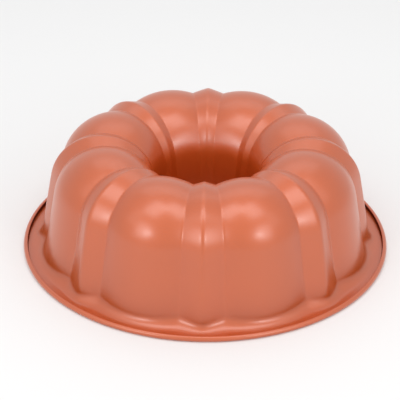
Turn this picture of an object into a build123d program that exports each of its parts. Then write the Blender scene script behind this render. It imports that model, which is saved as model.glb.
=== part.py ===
"""Fluted ring-cake (bundt) pan, standing on its rim with the dome up.

The origin is at the centre of the plane that the rim rests on, +Z is up through the centre tube,
and one of the eight narrow ribs points along -Y.  All lengths are in millimetres and all angles
in degrees, unless a name says otherwise.

The pan is one sheet of steel, drawn into eight wide lobes parted by eight narrow ribs.  In a half
plane through the axis, the fluted sheet is a belt around four bends: the foot fillet, the outer
and inner bends of the crown, and the shoulder at the tip of the centre tube.  The flutes come
from moving the foot and the crown a little from one half plane to the next.  Outside the foot,
a flat flange ends in an edge that is rolled up around a steel wire and left open on the inside.
"""
from build123d import *
import os
from dataclasses import dataclass
from math import asin, atan2, cos, degrees, hypot, pi, radians, sin

# Sheet and rolled edge
RIM_DIAMETER = 266.7
SHEET = 0.7
BEAD_DIAMETER = 4.0
BEAD_TURN = 210.0
WIRE_DIAMETER = 2.4
WIRE_BUTT_GAP = 1.0

# Flutes: a rib is two facets that meet on a rounded ridge, and a lobe is one full curve
FLUTES = 8
FIRST_RIB_AT = 270.0
RIB_HALF_WIDTH = 7.7
RIDGE_ROUNDING = 0.12      # rounded share of the rib's width
LOBE_FULLNESS = 2.0        # 2 is a parabola, and more is flatter on top with steeper sides

# Tip of the centre tube, which is the same all round the pan
TIP_SHOULDER = 4.0
TIP_SHOULDER_CENTRE = 28.0
TIP_HEIGHT = 2.0
TIP_HOLE_DIAMETER = 46.0


@dataclass
class Profile:
    """The dome side of the sheet in one half plane, with radii from the pan's axis."""
    foot: float          # radius of the foot fillet's centre, where the flat flange starts
    foot_bend: float     # bend radius of the foot fillet, from the flange to the outer wall
    crown: float         # radius of the crown's highest point
    height: float        # height of the crown's highest point
    outer_bend: float    # bend radius from the crown's top to the outer wall
    inner_bend: float    # bend radius from the crown's top to the centre tube

    def mixed(self, other, share):
        """This profile, moved towards another by a share of the way."""
        pairs = zip(vars(self).values(), vars(other).values())
        return Profile(*[own + share * (theirs - own) for own, theirs in pairs])


RIDGE = Profile(126.6, 5.9, crown=74.4, height=82.6, outer_bend=38.0, inner_bend=37.8)
LOBE = Profile(126.4, 6.9, crown=74.2, height=83.1, outer_bend=37.8, inner_bend=37.8)
CREASE = Profile(125.0, 10.3, crown=73.1, height=79.6, outer_bend=33.7, inner_bend=35.8)

FLUTE_STEP = 360.0 / FLUTES
BEAD_RADIUS = BEAD_DIAMETER / 2
BEAD_CENTRE = (RIM_DIAMETER / 2 - BEAD_RADIUS, BEAD_RADIUS)
INWARD = pi              # heading, in radians, of sheet that runs towards the pan's axis
SMALLEST_GAP = 0.001     # points and heights closer together than this are the same


@dataclass
class Bend:
    """A bend of the sheet: its centre, its dome-side radius, and +1 if it turns to the cavity."""
    centre: tuple
    radius: float
    turn: int

    def point(self, heading, depth):
        """Where the sheet runs along a heading in this bend, at a depth below its dome side."""
        reach = self.turn * self.radius - depth
        return Vector(self.centre[0] + reach * sin(heading), 0, self.centre[1] - reach * cos(heading))


def profile_at(angle):
    """The profile in the half plane at an angle from the nearest rib."""
    across_rib = abs(angle) / RIB_HALF_WIDTH
    if across_rib > 1:
        across_lobe = (abs(angle) - RIB_HALF_WIDTH) / (FLUTE_STEP / 2 - RIB_HALF_WIDTH)
        return CREASE.mixed(LOBE, 1 - abs(1 - across_lobe) ** LOBE_FULLNESS)
    rise = 1 - across_rib
    if across_rib < RIDGE_ROUNDING:
        rise = 1 - RIDGE_ROUNDING / 2 - across_rib ** 2 / (2 * RIDGE_ROUNDING)
    return CREASE.mixed(RIDGE, rise / (1 - RIDGE_ROUNDING / 2))


def heading_between(first, second):
    """Heading, in radians, of the straight run that leaves one bend and meets the next."""
    across = second.centre[0] - first.centre[0]
    up = second.centre[1] - first.centre[1]
    sideways = second.turn * second.radius - first.turn * first.radius
    return (atan2(up, across) - asin(sideways / hypot(across, up))) % (2 * pi)


def sheet_side(profile, depth):
    """Edges of one side of the fluted sheet, from the edge of the flange to the tube's hole."""
    foot = Bend((profile.foot, SHEET + profile.foot_bend), profile.foot_bend, -1)
    outer = Bend((profile.crown, profile.height - profile.outer_bend), profile.outer_bend, 1)
    inner = Bend((profile.crown, profile.height - profile.inner_bend), profile.inner_bend, 1)
    tip = Bend((TIP_SHOULDER_CENTRE, TIP_HEIGHT + SHEET + TIP_SHOULDER), TIP_SHOULDER, -1)
    wall_heading = heading_between(foot, outer)
    tube_heading = heading_between(inner, tip)
    runs = [
        (foot, INWARD, wall_heading),
        (outer, wall_heading, INWARD),
        (inner, INWARD, tube_heading),
        (tip, tube_heading, INWARD),
    ]
    edges = []
    for bend, heading_in, heading_out in runs:
        start = bend.point(heading_in, depth)
        if edges and (start - edges[-1] @ 1).length > SMALLEST_GAP:
            edges.append(Edge.make_line(edges[-1] @ 1, start))
        middle = bend.point((heading_in + heading_out) / 2, depth)
        edges.append(Edge.make_three_point_arc(start, middle, bend.point(heading_out, depth)))
    hole_edge = Vector(TIP_HOLE_DIAMETER / 2, 0, TIP_HEIGHT + SHEET - depth)
    edges.append(Edge.make_line(edges[-1] @ 1, hole_edge))
    return edges


def outline(angle):
    """Both sides of the fluted sheet, joined at the hole, at an angle from the first rib."""
    from_nearest_rib = (angle + FLUTE_STEP / 2) % FLUTE_STEP - FLUTE_STEP / 2
    profile = profile_at(from_nearest_rib)
    dome_side = sheet_side(profile, 0)
    cavity_side = sheet_side(profile, SHEET)
    hole_side = Edge.make_line(dome_side[-1] @ 1, cavity_side[-1] @ 1)
    return Wire([*dome_side, hole_side, *cavity_side]).rotate(Axis.Z, FIRST_RIB_AT + angle)


def skin_between(first, last, stations):
    """Faces of the fluted sheet from one angle to another, through evenly spaced outlines."""
    step = (last - first) / (stations - 1)
    outlines = [outline(first + step * number) for number in range(stations)]
    return Shell.make_loft(outlines).faces()


def fluted_skin():
    """Faces of both sides of the fluted sheet: those of one flute, repeated round the axis."""
    rounding = RIB_HALF_WIDTH * RIDGE_ROUNDING
    flute = [
        *skin_between(-RIB_HALF_WIDTH, -rounding, stations=3),
        *skin_between(-rounding, rounding, stations=5),
        *skin_between(rounding, RIB_HALF_WIDTH, stations=3),
        *skin_between(RIB_HALF_WIDTH, FLUTE_STEP - RIB_HALF_WIDTH, stations=7),
    ]
    return [face.rotate(Axis.Z, number * FLUTE_STEP) for number in range(FLUTES) for face in flute]


def lies_at(edge, height):
    """Whether the whole of an edge is at one height."""
    box = edge.bounding_box()
    return max(abs(box.min.Z - height), abs(box.max.Z - height)) < SMALLEST_GAP


def flange_face(skin, height):
    """The flat face at a height between the foot of the fluted skin and the rolled edge."""
    foot = [edge for face in skin for edge in face.edges() if lies_at(edge, height)]
    return Face(Wire.make_circle(BEAD_CENTRE[0], Plane.XY.offset(height)), [Wire(foot)])


def rolled_edge():
    """Faces of the bead, without the one where it joins the flange."""
    rim = Bend(BEAD_CENTRE, BEAD_RADIUS - SHEET, -1)
    heading_in = INWARD + radians(BEAD_TURN)
    arcs = []
    for depth in (0, SHEET):
        headings = (heading_in, (heading_in + INWARD) / 2, INWARD)
        arcs.append(Edge.make_three_point_arc(*[rim.point(heading, depth) for heading in headings]))
    ends = [Edge.make_line(arcs[0] @ share, arcs[1] @ share) for share in (0, 1)]
    bead = revolve(Face(Wire([*arcs, *ends])), Axis.Z)
    return [face for face in bead.faces() if face.geom_type != GeomType.CYLINDER]


def pan_shell():
    """The drawn sheet: its fluted skin, flat flange and rolled edge, sewn into a solid."""
    skin = fluted_skin()
    flange = [flange_face(skin, height) for height in (0, SHEET)]
    return Solid(Shell([*skin, *flange, *rolled_edge()]))


def rim_wire():
    """The steel wire inside the rolled edge, bent to a ring with a small gap between its ends."""
    gap_angle = degrees(WIRE_BUTT_GAP / BEAD_CENTRE[0])
    round_bar = Plane.XZ * Location(BEAD_CENTRE) * Circle(WIRE_DIAMETER / 2)
    return revolve(round_bar.rotate(Axis.Z, gap_angle / 2), Axis.Z, 360 - gap_angle)


os.makedirs("parts", exist_ok=True)
for make_node in (pan_shell, rim_wire):
    export_step(make_node(), f"parts/{make_node.__name__}.step")
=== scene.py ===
"""Looks of the fluted ring-cake pan: a smooth coated shell for the CAD sheet, studio and camera.

The sheet's sizes are in millimetres, as in the CAD.  Meshes, lights and the camera are placed in
metres.  Angles among the constants are in degrees.
"""
import bpy
import math
import numpy as np
from collections import namedtuple
from mathutils import Matrix, Vector


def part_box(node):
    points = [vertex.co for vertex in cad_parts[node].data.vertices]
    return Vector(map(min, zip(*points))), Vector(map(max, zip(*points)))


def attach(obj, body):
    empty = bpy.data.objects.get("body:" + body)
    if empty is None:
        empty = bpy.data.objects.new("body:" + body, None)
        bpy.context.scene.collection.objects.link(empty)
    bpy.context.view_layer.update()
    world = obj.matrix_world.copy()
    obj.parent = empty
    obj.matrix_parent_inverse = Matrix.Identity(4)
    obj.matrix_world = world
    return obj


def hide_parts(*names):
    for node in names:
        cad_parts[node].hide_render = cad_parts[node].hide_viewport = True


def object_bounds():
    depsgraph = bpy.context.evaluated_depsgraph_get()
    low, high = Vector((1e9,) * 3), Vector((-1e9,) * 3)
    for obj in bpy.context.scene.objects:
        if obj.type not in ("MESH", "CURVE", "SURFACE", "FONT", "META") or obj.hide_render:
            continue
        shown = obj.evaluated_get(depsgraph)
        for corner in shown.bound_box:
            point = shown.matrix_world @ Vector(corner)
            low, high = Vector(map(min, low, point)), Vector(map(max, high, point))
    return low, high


MM = 0.001

# ---------------------------------------------------------------- shape of the drawn sheet
SHEET = 0.7
BEAD_RADIUS = 2.0
BEAD_TURN = 210.0
FLUTES = 8
FLUTE_STEP = 360.0 / FLUTES
FIRST_RIB_AT = 270.0
RIB_HALF_WIDTH = 7.7
RIDGE_ROUNDING = 0.12       # rounded share of the rib's width
LOBE_FULLNESS = 2.0         # 2 is a parabola, and more is flatter on top with steeper sides
TIP_SHOULDER = 4.0
TIP_SHOULDER_CENTRE = 28.0
TIP_HEIGHT = 2.0
TIP_HOLE_RADIUS = 23.0

# A profile in one half plane: the foot bend's distance from the axis and its radius, the crown's
# radius and height, and the radii of its outer and inner bends
RIDGE = np.array([126.6, 5.9, 74.4, 82.6, 38.0, 37.8])
LOBE = np.array([126.4, 6.9, 74.2, 83.1, 37.8, 37.8])
CREASE = np.array([125.0, 10.3, 73.1, 79.6, 33.7, 35.8])

# Folds are rounded over a half width: the crown's, blended into the foot's near the floor
CROWN_FOLD = 0.55
FOOT_FOLD = 4.0
FOLD_CHANGE_HEIGHT = 26.0   # the blend starts below this height
FOLD_SAMPLES = 13
FOLD_END_WEIGHT = 0.2       # weight of a fold's outermost samples, and the middle one has 1 more

# ---------------------------------------------------------------- density of the shell's mesh
RIDGE_ZONE = 1.6            # degrees on each side of a ridge with close columns
CREASE_ZONE = 1.0           # degrees on each side of a crease with close columns
RIDGE_COLUMNS = 8
FACET_COLUMNS = 5
CREASE_COLUMNS = 5
LOBE_COLUMNS = 18
BEND_ROWS = {"rim": 20, "foot": 13, "outer": 22, "inner": 24, "tip": 8}     # rows in each bend
RUN_ROWS = {"foot": 3, "outer": 8, "tip": 9}    # rows in the straight run before a bend
EDGE_ROWS = 5               # rows in each rounded edge, without its ends

# ---------------------------------------------------------------- frame
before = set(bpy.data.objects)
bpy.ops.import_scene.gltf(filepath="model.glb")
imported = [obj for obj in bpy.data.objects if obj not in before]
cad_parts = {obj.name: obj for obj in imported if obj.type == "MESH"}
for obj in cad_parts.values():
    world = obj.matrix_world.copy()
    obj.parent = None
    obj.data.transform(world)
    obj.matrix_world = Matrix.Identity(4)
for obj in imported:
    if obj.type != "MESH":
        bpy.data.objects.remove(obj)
cad_low, cad_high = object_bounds()
shell_low, shell_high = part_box("pan_shell")
RIM_RADIUS = (shell_high[0] - shell_low[0]) / 2 / MM

# ---------------------------------------------------------------- coated shell
# A bend of the sheet: its centre, its dome-side radius, and +1 if it turns to the cavity
Bend = namedtuple("Bend", "across up radius turn")


def flute_columns():
    """Angles of the mesh's columns over one flute, closer together at the ridge and creases."""
    crease = RIB_HALF_WIDTH
    next_crease = FLUTE_STEP - RIB_HALF_WIDTH
    spans = [
        (-RIDGE_ZONE, RIDGE_ZONE, RIDGE_COLUMNS),
        (RIDGE_ZONE, crease - CREASE_ZONE, FACET_COLUMNS),
        (crease - CREASE_ZONE, crease + CREASE_ZONE, CREASE_COLUMNS),
        (crease + CREASE_ZONE, next_crease - CREASE_ZONE, LOBE_COLUMNS),
        (next_crease - CREASE_ZONE, next_crease + CREASE_ZONE, CREASE_COLUMNS),
        (next_crease + CREASE_ZONE, FLUTE_STEP - RIDGE_ZONE, FACET_COLUMNS),
    ]
    return np.concatenate([np.linspace(*span, endpoint=False) for span in spans])


def flute_shares(angles):
    """How far the sheet has risen from the crease to the ridge and to the lobe, at each angle."""
    from_rib = np.abs((angles + FLUTE_STEP / 2) % FLUTE_STEP - FLUTE_STEP / 2)
    across_rib = from_rib / RIB_HALF_WIDTH
    rounded = 1 - RIDGE_ROUNDING / 2 - across_rib ** 2 / (2 * RIDGE_ROUNDING)
    rise = np.where(across_rib < RIDGE_ROUNDING, rounded, np.clip(1 - across_rib, 0, 1))
    across_lobe = np.clip((from_rib - RIB_HALF_WIDTH) / (FLUTE_STEP / 2 - RIB_HALF_WIDTH), 0, 1)
    return rise / (1 - RIDGE_ROUNDING / 2), 1 - (1 - across_lobe) ** LOBE_FULLNESS


def profiles(angles, fold):
    """The six profile values at each angle, with every fold rounded over a half width."""
    shifts = np.linspace(-1, 1, FOLD_SAMPLES)
    weights = 1 + FOLD_END_WEIGHT - np.abs(shifts)
    values = 0
    for shift, weight in zip(shifts * fold, weights / weights.sum()):
        ridge, lobe = flute_shares(angles + shift)
        sharp = CREASE[:, None] + np.outer(RIDGE - CREASE, ridge) + np.outer(LOBE - CREASE, lobe)
        values = values + weight * sharp
    return values


def bend_point(bend, heading, depth):
    """Where the sheet runs along a heading in a bend, at a depth below its dome side."""
    reach = bend.turn * bend.radius - depth
    return np.stack([bend.across + reach * np.sin(heading), bend.up - reach * np.cos(heading)])


def heading_between(first, second):
    """Heading of the straight run that leaves one bend and meets the next."""
    across = second.across - first.across
    up = second.up - first.up
    sideways = second.turn * second.radius - first.turn * first.radius
    return (np.arctan2(up, across) - np.arcsin(sideways / np.hypot(across, up))) % (2 * math.pi)


def between(start, end, count):
    """Evenly spaced rows between two rows, without either of them."""
    return [start + (end - start) * share for share in np.linspace(0, 1, count + 2)[1:-1]]


def folded_side(angles, depth, fold):
    """Rows of (radius, height) along one side of the sheet, from the rim's curl to the tube's hole."""
    foot_at, foot_bend, crown, height, outer_bend, inner_bend = profiles(angles, fold)
    edge = SHEET / 2
    rim = Bend(RIM_RADIUS - BEAD_RADIUS, BEAD_RADIUS, BEAD_RADIUS - SHEET, -1)
    foot = Bend(foot_at, SHEET + foot_bend, foot_bend, -1)
    outer = Bend(crown, height - outer_bend, outer_bend, 1)
    inner = Bend(crown, height - inner_bend, inner_bend, 1)
    tip = Bend(TIP_SHOULDER_CENTRE, TIP_HEIGHT + SHEET + TIP_SHOULDER, TIP_SHOULDER, -1)
    inward = np.full_like(angles, math.pi)
    wall = heading_between(foot, outer)
    tube = heading_between(inner, tip)
    curl_end = inward + math.radians(BEAD_TURN) - edge / (BEAD_RADIUS - edge)
    course = {      # each bend, with the headings on its way in and out
        "rim": (rim, curl_end, inward),
        "foot": (foot, inward, wall),
        "outer": (outer, wall, inward),
        "inner": (inner, inward, tube),
        "tip": (tip, tube, inward),
    }
    rows = []
    for name, (bend, heading_in, heading_out) in course.items():
        headings = [heading_in + (heading_out - heading_in) * share
                    for share in np.linspace(0, 1, BEND_ROWS[name])]
        arc = [bend_point(bend, heading, depth) for heading in headings]
        if name in RUN_ROWS:
            rows += between(rows[-1], arc[0], RUN_ROWS[name])
        elif rows:
            arc = arc[1:]
        rows += arc
    hole = np.full_like(angles, TIP_HOLE_RADIUS + edge)
    rows.append(np.stack([hole, np.full_like(angles, TIP_HEIGHT + SHEET - depth)]))
    return np.array(rows)


def sheet_side(angles, depth):
    """Rows along one side of the sheet, with folds that are crisp above and soft at the foot."""
    crisp = folded_side(angles, depth, CROWN_FOLD)
    soft = folded_side(angles, depth, FOOT_FOLD)
    share = np.clip(1 - crisp[:, 1:] / FOLD_CHANGE_HEIGHT, 0, 1)
    return list(crisp + (soft - crisp) * share)


def rounded_edge(start, end):
    """Rows of a half round edge of the sheet, from one side to the other."""
    middle = (start + end) / 2
    half = (end - start) / 2
    out = np.stack([half[1], -half[0]])
    turns = np.linspace(0, math.pi, EDGE_ROWS + 2)[1:-1]
    return [middle - half * math.cos(turn) + out * math.sin(turn) for turn in turns]


def shell_points():
    """The shell's points in metres: rings, one column for each angle round the axis."""
    flute = flute_columns()
    angles = np.concatenate([flute + number * FLUTE_STEP for number in range(FLUTES)])
    dome = sheet_side(angles, 0)
    cavity = sheet_side(angles, SHEET)[::-1]
    rows = dome + rounded_edge(dome[-1], cavity[0]) + cavity + rounded_edge(cavity[-1], dome[0])
    radius, height = np.array(rows).swapaxes(0, 1) * MM
    turn = np.radians(FIRST_RIB_AT + angles)
    return np.stack([radius * np.cos(turn), radius * np.sin(turn), height], axis=-1)


def closed_grid(row_count, column_count):
    """Quads of a grid of points that closes on itself both ways."""
    faces = []
    for row in range(row_count):
        here = row * column_count
        below = (row + 1) % row_count * column_count
        for column in range(column_count):
            beside = (column + 1) % column_count
            faces.append((here + column, here + beside, below + beside, below + column))
    return faces


def mesh_object(name, points, faces, material):
    """A mesh object in the scene, with one material."""
    mesh = bpy.data.meshes.new(name)
    mesh.from_pydata(points, [], faces)
    mesh.materials.append(material)
    made = bpy.data.objects.new(name, mesh)
    bpy.context.scene.collection.objects.link(made)
    return made


def make_shell():
    """The coated sheet as one closed, smoothly shaded mesh of quads."""
    points = shell_points()
    faces = closed_grid(*points.shape[:2])
    made = mesh_object("coated_shell", points.reshape(-1, 3).tolist(), faces, copper_coat())
    made.data.polygons.foreach_set("use_smooth", [True] * len(faces))
    made.data.update()
    return made


# ---------------------------------------------------------------- materials
RAMP_ENDS = (0.3, 0.7)      # noise at which the darker and the lighter tone are reached


def principled(material):
    """The main shader of a material."""
    return material.node_tree.nodes["Principled BSDF"]


def new_material(name, values):
    """A node material, with uniform values for sockets of its main shader."""
    material = bpy.data.materials.new(name)
    material.use_nodes = True
    for socket, value in values.items():
        principled(material).inputs[socket].default_value = value
    return material


def add_noise(material, scale, detail=2.0):
    """Noise over the object's own coordinates, which are in metres."""
    tree = material.node_tree
    coords = tree.nodes.new("ShaderNodeTexCoord")
    texture = tree.nodes.new("ShaderNodeTexNoise")
    texture.inputs["Scale"].default_value = scale
    texture.inputs["Detail"].default_value = detail
    tree.links.new(coords.outputs["Object"], texture.inputs["Vector"])
    return texture.outputs["Fac"]


def vary_colour(material, noise, dark, light):
    """Base colour between two tones."""
    tree = material.node_tree
    ramp = tree.nodes.new("ShaderNodeValToRGB")
    for element, position, tone in zip(ramp.color_ramp.elements, RAMP_ENDS, (dark, light)):
        element.position = position
        element.color = (*tone, 1)
    tree.links.new(noise, ramp.inputs["Fac"])
    tree.links.new(ramp.outputs["Color"], principled(material).inputs["Base Color"])


def vary_roughness(material, noise, smooth, rough):
    """Roughness between two values."""
    tree = material.node_tree
    spread = tree.nodes.new("ShaderNodeMapRange")
    spread.inputs["To Min"].default_value = smooth
    spread.inputs["To Max"].default_value = rough
    tree.links.new(noise, spread.inputs["Value"])
    tree.links.new(spread.outputs["Result"], principled(material).inputs["Roughness"])


def add_bump(material, noise, depth, strength):
    """Fine relief of a depth in metres."""
    tree = material.node_tree
    bump = tree.nodes.new("ShaderNodeBump")
    bump.inputs["Strength"].default_value = strength
    bump.inputs["Distance"].default_value = depth
    tree.links.new(noise, bump.inputs["Height"])
    tree.links.new(bump.outputs["Normal"], principled(material).inputs["Normal"])


def copper_coat():
    """Satin nonstick coat: copper flakes and pigment under a clear top, with faint orange peel."""
    material = new_material("copper_coat", {
        "Metallic": 0.74,
        "Coat Weight": 1.0,
        "Coat Roughness": 0.28,
        "Coat IOR": 1.89,
        "Coat Tint": (1, 0.92, 0.88, 1),
    })
    clouds = add_noise(material, scale=28, detail=4)
    orange_peel = add_noise(material, scale=900)
    vary_colour(material, clouds, dark=(0.570, 0.101, 0.0019), light=(0.599, 0.106, 0.0020))
    vary_roughness(material, clouds, smooth=0.57, rough=0.63)
    add_bump(material, orange_peel, depth=0.0002, strength=0.05)
    return material


def oxide_and_shade_wire():
    """Annealed steel wire: a dull dark oxide, its red-brown tone partly the oxide's own colour and
    partly painted shade of the slot under the rim's curl.
    """
    material = new_material("annealed_wire", {"Specular IOR Level": 0.05})
    speckle = add_noise(material, scale=350)
    # Painted shade: the dark red-brown tones copy the shade in the slot under the curl, on top of the
    # oxide's own darkness.
    vary_colour(material, speckle, dark=(0.07, 0.011, 0.004), light=(0.11, 0.019, 0.007))
    vary_roughness(material, speckle, smooth=0.65, rough=0.8)
    add_bump(material, speckle, depth=0.0001, strength=0.2)
    return material


def white_floor():
    """Matt white studio floor."""
    return new_material("studio_white", {"Base Color": (0.84, 0.84, 0.84, 1), "Roughness": 0.8})


# ---------------------------------------------------------------- studio
FLOOR_HALF_SIZE = 6.0
SURROUND_BRIGHTNESS = 0.80
LIGHT_DISTANCE = 1.3
PAN_MIDDLE = Vector((0, 0, (cad_low[2] + cad_high[2]) / 2))

# Softboxes, in pairs left and right: azimuth, elevation, width and height in metres, brightness
SOFTBOXES = {
    "front": (32, 23, 0.23, 0.18, 6.40),
    "wide": (42, 25, 0.47, 0.61, 1.50),
    "side": (69, 39, 0.40, 0.60, 0.42),
    "top": (49, 70, 0.54, 0.71, 1.70),
    "back": (159, 55, 0.60, 0.60, 0.47),
}


def direction(azimuth, elevation):
    """Unit vector from the pan: azimuth 0 is towards -Y and 90 towards +X."""
    turn, rise = math.radians(azimuth), math.radians(elevation)
    return Vector((math.sin(turn) * math.cos(rise), -math.cos(turn) * math.cos(rise), math.sin(rise)))


def softbox(name, azimuth, elevation, width, height, brightness):
    """A rectangular softbox that faces the pan, as bright at any size."""
    data = bpy.data.lights.new(name, "AREA")
    data.shape = "RECTANGLE"
    data.size, data.size_y = width, height
    data.energy = brightness * math.pi * width * height
    light = bpy.data.objects.new(name, data)
    towards = direction(azimuth, elevation)
    light.location = PAN_MIDDLE + towards * LIGHT_DISTANCE
    light.rotation_euler = towards.to_track_quat("Z", "Y").to_euler()
    bpy.context.scene.collection.objects.link(light)


def make_floor():
    """The white floor that the pan stands on."""
    left, right = -FLOOR_HALF_SIZE, FLOOR_HALF_SIZE
    corners = [(left, left, 0), (right, left, 0), (right, right, 0), (left, right, 0)]
    floor = mesh_object("floor", corners, [(0, 1, 2, 3)], white_floor())


def make_surround():
    """An even white surround."""
    world = bpy.data.worlds.new("surround")
    world.use_nodes = True
    background = world.node_tree.nodes["Background"]
    background.inputs["Color"].default_value = (1, 1, 1, 1)
    background.inputs["Strength"].default_value = SURROUND_BRIGHTNESS
    bpy.context.scene.world = world


def make_studio():
    """White floor, white surround and pairs of softboxes."""
    make_floor()
    make_surround()
    for name, (azimuth, elevation, width, height, brightness) in SOFTBOXES.items():
        for side, side_name in ((-1, "left"), (1, "right")):
            softbox(f"{name}_{side_name}", side * azimuth, elevation, width, height, brightness)


# ---------------------------------------------------------------- camera
CAMERA_AZIMUTH = 1.12
CAMERA_ELEVATION = 29.84
CAMERA_ROLL = 0.36
CAMERA_DISTANCE = 0.9616    # from the point that it aims at
AIM_RIGHT = -0.0040         # how far right of the pan's axis the camera aims
AIM_HEIGHT = 0.0313
SENSOR = 36.0               # width in millimetres
FOCAL_SHARE = 3.2944        # focal length over the sensor's width


def make_camera():
    """The camera at the catalogue view: in front, looking down by about 30 degrees."""
    data = bpy.data.cameras.new("camera")
    data.sensor_width = SENSOR
    data.lens = SENSOR * FOCAL_SHARE
    camera = bpy.data.objects.new("camera", data)
    back = direction(CAMERA_AZIMUTH, CAMERA_ELEVATION)
    turn = math.radians(CAMERA_AZIMUTH)
    right = Vector((math.cos(turn), math.sin(turn), 0))
    up = back.cross(right)
    roll = math.radians(CAMERA_ROLL)
    tilted_right = right * math.cos(roll) + up * math.sin(roll)
    tilted_up = up * math.cos(roll) - right * math.sin(roll)
    aim = right * AIM_RIGHT + Vector((0, 0, AIM_HEIGHT))
    axes = Matrix((tilted_right, tilted_up, back)).transposed().to_4x4()
    camera.matrix_world = Matrix.Translation(aim + back * CAMERA_DISTANCE) @ axes
    bpy.context.scene.collection.objects.link(camera)
    bpy.context.scene.camera = camera


# ---------------------------------------------------------------- build the scene
shell = make_shell()
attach(shell, "root")
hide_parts("pan_shell")

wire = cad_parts["rim_wire"]
wire.data.materials.clear()
wire.data.materials.append(oxide_and_shade_wire())

make_studio()
make_camera()
bpy.context.scene.view_settings.view_transform = "Standard"
